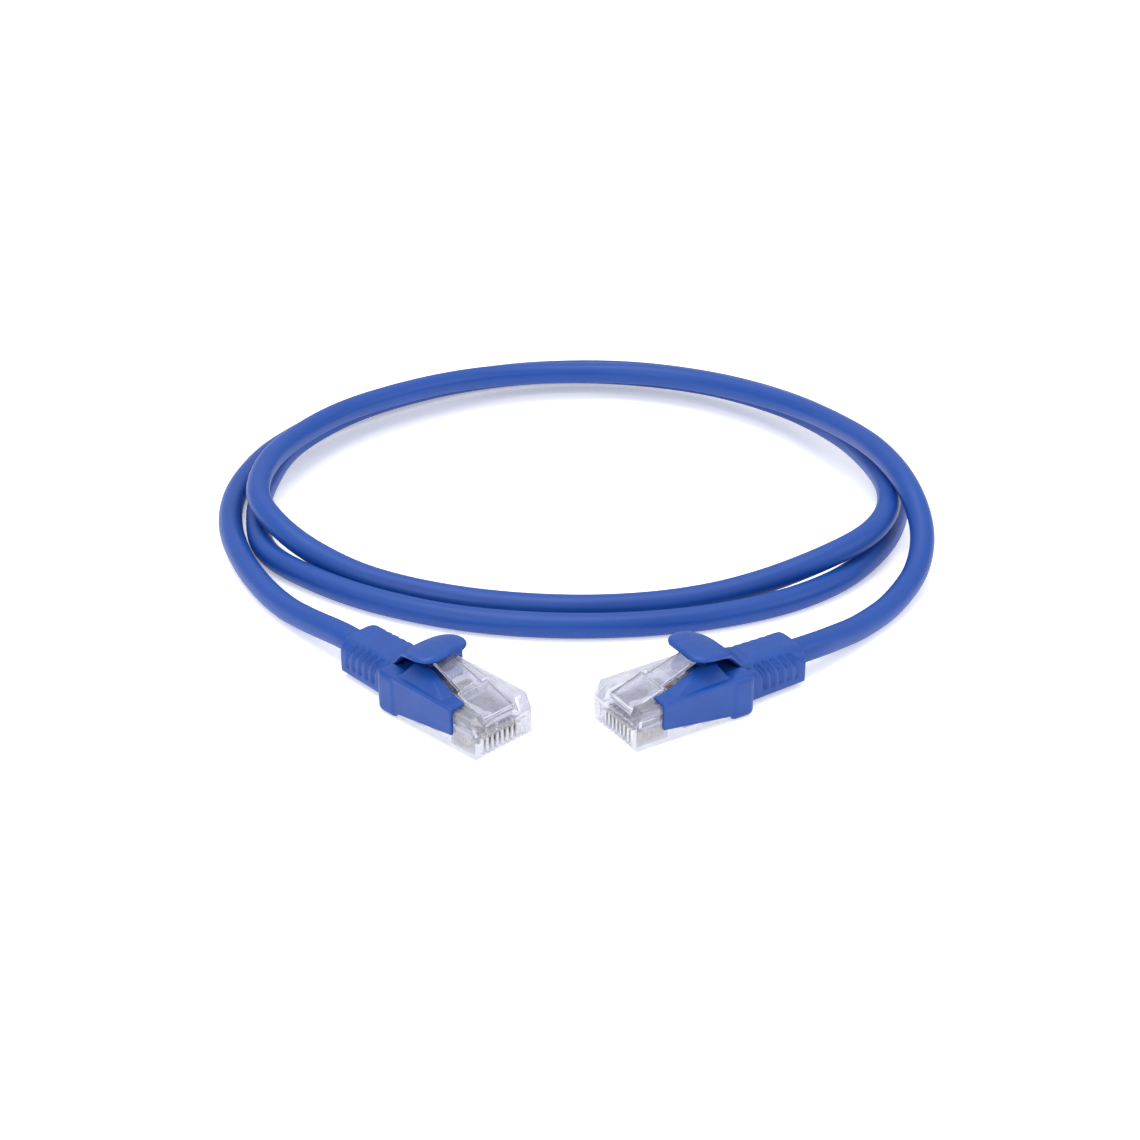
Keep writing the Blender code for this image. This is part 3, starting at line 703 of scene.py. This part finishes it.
def grip_groove_tree():
    """Cutters for the grip: a row of leaning crescents on both sides of the boot's neck."""
    tree, inputs = geometry_tree(
        "grip grooves",
        {
            "Count": "NodeSocketInt",
            "First place": "NodeSocketFloat",
            "Pitch": "NodeSocketFloat",
            "Half width": "NodeSocketFloat",
            "Low end": "NodeSocketFloat",
            "High end": "NodeSocketFloat",
            "Lean": "NodeSocketFloat",
            "Bow": "NodeSocketFloat",
            "Groove radius": "NodeSocketFloat",
        },
    )

    def point(x, y, z):
        return add_node(tree, "ShaderNodeCombineXYZ", {"X": x, "Y": y, "Z": z}).outputs[0]

    row = add_node(
        tree,
        "GeometryNodeMeshLine",
        {
            "Count": inputs["Count"],
            "Start Location": point(inputs["First place"], 0.0, 0.0),
            "Offset": point(inputs["Pitch"], 0.0, 0.0),
        },
        mode="OFFSET",
    )
    ring = add_node(
        tree,
        "GeometryNodeCurvePrimitiveCircle",
        {"Resolution": 12, "Radius": inputs["Groove radius"]},
    )
    joined = tree.nodes.new("GeometryNodeJoinGeometry")
    for sign in (-1.0, 1.0):
        wall = math_node(tree, "MULTIPLY", inputs["Half width"], sign)
        inward = math_node(tree, "MULTIPLY", wall, 0.72)
        crescent = add_node(
            tree,
            "GeometryNodeCurveQuadraticBezier",
            {
                "Resolution": 14,
                "Start": point(0.0, wall, inputs["Low end"]),
                "Middle": point(
                    inputs["Bow"],
                    math_node(tree, "MULTIPLY", wall, 1.14),
                    mixed(tree, inputs["Low end"], inputs["High end"], 2 / 3),
                ),
                "End": point(inputs["Lean"], inward, inputs["High end"]),
            },
        )
        swept = add_node(
            tree,
            "GeometryNodeCurveToMesh",
            {
                "Curve": crescent.outputs[0],
                "Profile Curve": ring.outputs["Curve"],
                "Fill Caps": True,
            },
        )
        placed = add_node(
            tree,
            "GeometryNodeInstanceOnPoints",
            {"Points": row.outputs[0], "Instance": swept.outputs[0]},
        )
        tree.links.new(placed.outputs[0], joined.inputs[0])
    end_tree(tree, joined.outputs[0], BOOT)
    return tree


# ---------------------------------------------------------------- camera, light and floor


def build_camera():
    data = bpy.data.cameras.new("camera")
    data.lens = CAMERA_LENS
    data.sensor_fit = "HORIZONTAL"
    data.sensor_width = CAMERA_SENSOR
    data.clip_start = 0.01
    data.clip_end = 20.0
    camera = new_object("camera", data)
    camera.location = CAMERA_PLACE
    camera.rotation_euler = (math.pi / 2 - CAMERA_PITCH_DOWN, 0.0, -CAMERA_TURN_RIGHT)
    bpy.context.scene.camera = camera


def build_light():
    """An even white studio: a bright dome that is greyer near the horizon, and three soft boxes."""
    world = bpy.data.worlds.new("studio")
    bpy.context.scene.world = world
    world.use_nodes = True
    tree = world.node_tree
    direction = add_node(tree, "ShaderNodeTexCoord").outputs["Generated"]
    up = add_node(tree, "ShaderNodeSeparateXYZ", {"Vector": direction}).outputs["Z"]
    ramp = add_node(tree, "ShaderNodeValToRGB", {"Fac": up})
    ramp.color_ramp.elements[0].position = 0.0
    ramp.color_ramp.elements[0].color = (0.50, 0.50, 0.54, 1.0)
    ramp.color_ramp.elements[1].position = 0.55
    ramp.color_ramp.elements[1].color = (1.0, 1.0, 1.0, 1.0)
    background = tree.nodes["Background"]
    tree.links.new(ramp.outputs["Color"], background.inputs["Color"])
    background.inputs["Strength"].default_value = 1.0
    middle = Vector((0.0, 0.06, 0.0))
    boxes = (
        ("top soft box", (-0.10, 0.10, 0.80), 0.60, 3.4),
        ("front soft box", (-0.55, -0.65, 0.55), 0.45, 2.2),
        ("right soft box", (0.75, -0.25, 0.45), 0.35, 1.4),
    )
    for name, place, size, power in boxes:
        light = bpy.data.lights.new(name, "AREA")
        light.shape = "RECTANGLE"
        light.size = size
        light.size_y = size
        light.energy = power
        lamp = new_object(name, light)
        lamp.location = place
        lamp.rotation_euler = (middle - lamp.location).to_track_quat("-Z", "Y").to_euler()
    bpy.context.scene.view_settings.view_transform = "Standard"


def build_floor():
    shape = bmesh.new()
    bmesh.ops.create_grid(shape, x_segments=8, y_segments=8, size=4.0)
    mesh = mesh_from(shape, "studio_floor")
    mesh.materials.append(floor_finish("pale studio floor"))
    new_object("studio_floor", mesh)


# ---------------------------------------------------------------- the cable


def behind_boot(side, distance):
    return FRAMES[side] @ Vector((NECK_BACK - distance, 0.0, CABLE_EXIT_HEIGHT))


def cable_path():
    route = [behind_boot("left", END_GAP), behind_boot("left", END_GAP + STRAIGHT_EXIT)]
    route += [COIL_CENTRE + Vector(point) * MM for point in CABLE_ROUTE]
    route += [behind_boot("right", END_GAP + STRAIGHT_EXIT), behind_boot("right", END_GAP)]
    return smooth_path(route, CABLE_STEPS)


def build_cable():
    path = cable_path()
    route = new_object("cable route", poly_curve("cable route", path))
    mesh = run_tree(
        route,
        cable_tree(),
        {
            "Radius": CABLE_DIAMETER / 2,
            "Sides": 28,
            "Step": 1.0 * MM,
            "Lobes": 4.0,
            "Relief": 0.018 * MM,
            "Twist length": 38.0 * MM,
        },
    )
    mesh.shade_smooth()
    mesh.set_sharp_from_angle(angle=math.radians(60))
    cable = new_object("network_cable", mesh)
    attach(cable, "root")
    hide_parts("cable")
    return cable, path


# ---------------------------------------------------------------- the pieces of one end


def build_boot(side):
    """The boot, from its CAD shape, with the grip's grooves and softly moulded edges."""
    boot = blank(side, "boot")
    grooves = run_tree(
        new_object("groove source", bpy.data.meshes.new("groove source")),
        GRIP_GROOVES,
        {
            "Count": 5,
            "First place": -24.9 * MM,
            "Pitch": -1.55 * MM,
            "Half width": 4.35 * MM,
            "Low end": 2.2 * MM,
            "High end": 6.5 * MM,
            "Lean": 1.3 * MM,
            "Bow": -0.35 * MM,
            "Groove radius": 0.43 * MM,
        },
    )
    cutter = cut(boot, grooves)
    remesh = boot.modifiers.new("even faces", "REMESH")
    remesh.mode = "VOXEL"
    remesh.voxel_size = BOOT_FACE
    smooth = boot.modifiers.new("soft edges", "SMOOTH")
    smooth.factor = 0.5
    smooth.iterations = BOOT_SMOOTHING
    mesh = evaluated_mesh(boot)
    bpy.data.objects.remove(cutter, do_unlink=True)
    finish_piece(
        f"{side}_snagless_boot",
        mesh,
        side,
        body="root",
        replaced="boot",
        material=BOOT,
        sharp=None,
    )


def build_tongue(side):
    """The boot's tongue: a leaf with round edges and a gently crowned top."""
    line = smooth_path(TONGUE_STATIONS, TONGUE_STEPS)
    shape = bmesh.new()
    rings = []
    for index, station in enumerate(line):
        before = line[max(index - 1, 0)]
        after = line[min(index + 1, len(line) - 1)]
        slope = (after.y - before.y) / (after.x - before.x)
        normal = Vector((-slope, 0.0, 1.0)).normalized()
        left_over = (line[-1] - station).length
        thin = min(1.0, TONGUE_TIP_SHARE + left_over / TONGUE_TIP_LENGTH)
        rooted = min(1.0, max(0.0, (TONGUE_ROOT_FRONT - station.x) / TONGUE_ROOT_LENGTH))
        ring = []
        for number in range(TONGUE_SIDES):
            angle = 2 * math.pi * number / TONGUE_SIDES
            across = math.copysign(abs(math.cos(angle)) ** 0.45, math.cos(angle))
            height = math.copysign(abs(math.sin(angle)) ** 0.8, math.sin(angle))
            crown = (TONGUE_CROWN + TONGUE_ROOT_CROWN * rooted) * (1.0 - across**2)
            place = Vector((station.x, 0.0, station.y))
            place += normal * (height * thin * TONGUE_THICKNESS / 2 + crown)
            place.y = across * station.z
            ring.append(shape.verts.new(place * MM))
        rings.append(ring)
    for first, second in zip(rings, rings[1:]):
        for number in range(TONGUE_SIDES):
            following = (number + 1) % TONGUE_SIDES
            shape.faces.new((first[number], first[following], second[following], second[number]))
    shape.faces.new(rings[0])
    shape.faces.new(rings[-1])
    bmesh.ops.recalc_face_normals(shape, faces=shape.faces)
    finish_piece(
        f"{side}_boot_tongue",
        mesh_from(shape, "tongue"),
        side,
        body=f"{side}_tab",
        replaced="boot_tab",
        material=BOOT,
        sharp=60.0,
    )


def round_clear_edges(obj, width):
    """Rounds the edges of a clear moulding, and gives the rounded faces their own whiter finish, a
    painted highlight.
    """
    for material in (CLEAR, CLEAR_EDGE_HIGHLIGHT):
        obj.data.materials.append(material)
    bevel = obj.modifiers.new("rounded edges", "BEVEL")
    bevel.width = width
    bevel.segments = 2
    bevel.limit_method = "ANGLE"
    bevel.angle_limit = math.radians(30.0)
    bevel.use_clamp_overlap = True
    # The rounded faces take the whiter finish, a painted edge highlight.
    bevel.material = 1


def build_clear_plug(side):
    """The clear plug body, with a shallow window round its contact slots and fine rounded edges."""
    plug = blank(side, "plug_housing")
    window = cut(plug, box_mesh("window", WINDOW_LOW, WINDOW_HIGH))
    round_clear_edges(plug, PLUG_ROUNDING)
    mesh = evaluated_mesh(plug)
    bpy.data.objects.remove(window, do_unlink=True)
    finish_piece(
        f"{side}_clear_plug", mesh, side, body="root", replaced="plug_housing"
    )


def build_clear_latch(side):
    latch = blank(side, "latch")
    round_clear_edges(latch, LATCH_ROUNDING)
    finish_piece(
        f"{side}_clear_latch",
        evaluated_mesh(latch),
        side,
        body=f"{side}_latch",
        replaced="latch",
    )


def conductor_path(index):
    """From the contact side of the plug to the end of the jacket, where the pairs lie in a ring."""
    flat_y = (index - (CONTACT_COUNT - 1) / 2) * CONTACT_PITCH
    across = (-1, -1, -0.414, -0.414, 0.414, 0.414, 1, 1)[index]
    high = 1 if index % 2 else -1
    ring_y = across * BUNDLE_RADIUS * math.cos(math.pi / 8)
    ring_z = high * math.sqrt(BUNDLE_RADIUS**2 - ring_y**2)
    return smooth_path(
        [
            (-1.8 * MM, flat_y, WIRE_HEIGHT),
            (-5.0 * MM, flat_y, WIRE_HEIGHT),
            (-10.8 * MM, flat_y, WIRE_HEIGHT),
            (-12.9 * MM, (flat_y + ring_y) / 2, WIRE_HEIGHT + ring_z * 0.8),
            (-14.2 * MM, ring_y, WIRE_HEIGHT + ring_z),
        ],
        6,
    )


def build_conductor(side, index):
    curve = new_object("conductor route", poly_curve("conductor route", conductor_path(index)))
    mesh = run_tree(
        curve,
        CONDUCTORS[index],
        {
            "Radius": WIRE_RADIUS,
            "Core radius": WIRE_CORE_RADIUS,
            "Bare length": WIRE_BARE_LENGTH,
            "Sides": 16,
            "Step": 0.35 * MM,
        },
    )
    finish_piece(
        f"{side}_conductor_{index + 1}",
        mesh,
        side,
        body="root",
        replaced=f"wire_{index + 1}",
    )


def refinish_kept_nodes(side):
    """The pieces whose CAD shape is already right only take their finish."""
    finishes = {f"{side}_wire_guide": CLEAR_INNER, f"{side}_cord_clamp": CLEAR_INNER}
    finishes[f"{side}_cable_end"] = HELD_JACKET
    for index in range(CONTACT_COUNT):
        finishes[f"{side}_contact_{index + 1}"] = GOLD
    for node, material in finishes.items():
        obj = bpy.data.objects[node]
        if not obj.material_slots:
            obj.data.materials.append(material)
        for material_slot in obj.material_slots:
            material_slot.material = material


# ---------------------------------------------------------------- the whole

build_camera()
cable, path = build_cable()

GRIP_GROOVES = grip_groove_tree()
CONDUCTORS = [
    conductor_tree(insulation_finish(f"{name} insulation", colour, stripe))
    for name, colour, stripe in WIRES
]
for side in SIDES:
    build_boot(side)
    build_tongue(side)
    build_clear_plug(side)
    build_clear_latch(side)
    for index in range(CONTACT_COUNT):
        build_conductor(side, index)
    refinish_kept_nodes(side)

build_light()
build_floor()
